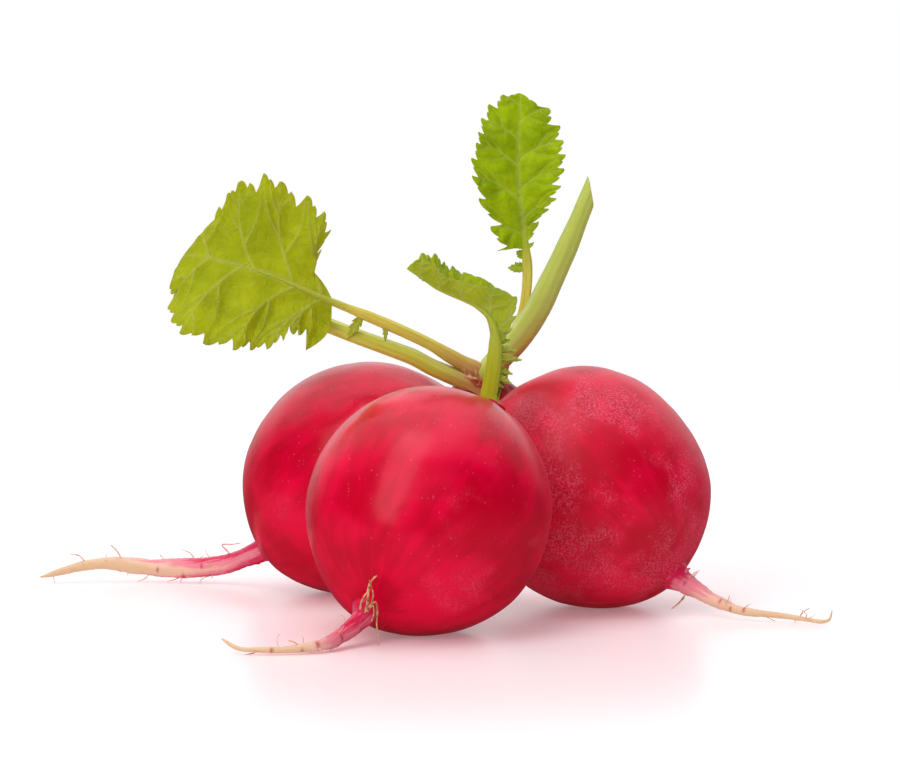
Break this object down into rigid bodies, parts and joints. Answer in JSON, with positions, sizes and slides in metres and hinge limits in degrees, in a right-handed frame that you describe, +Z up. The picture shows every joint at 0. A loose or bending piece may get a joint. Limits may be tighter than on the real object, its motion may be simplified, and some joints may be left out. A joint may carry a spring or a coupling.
{
  "type": "bunch of radishes",
  "caption": "Small bunch of round red radishes lying on their globes, with trailing tap roots, crowns drawn together, short young leaves and trimmed leaf stalks.",
  "frame": {"origin": "middle of the bunch's footprint box, on the surface it lies on", "axes": "+X along the row of globes towards the duller radish, +Y to the back, away from the front radish, +Z up"},
  "size_m": [0.1178, 0.0778, 0.0754],
  "materials": {
    "red_skin": "smooth satin skin, crimson, paler and pink towards the root",
    "dull_red_skin": "duller, drier crimson skin with pale speckled patches",
    "stalk_green": "pale yellow-green, softly glossy, finely ribbed",
    "leaf_green": "bright yellow-green leaf with pale veins and a crinkled surface",
    "young_leaf_green": "darker green, still folded"
  },
  "bodies": {
    "root": {"radish_left": "red_skin", "radish_front": "red_skin", "radish_right": "dull_red_skin", "stalk_left": "stalk_green", "stalk_right": "stalk_green", "leaf_left": "leaf_green", "leaf_upright": "leaf_green", "leaf_front": "leaf_green", "young_leaf": "young_leaf_green"}
  },
  "joints": []
}
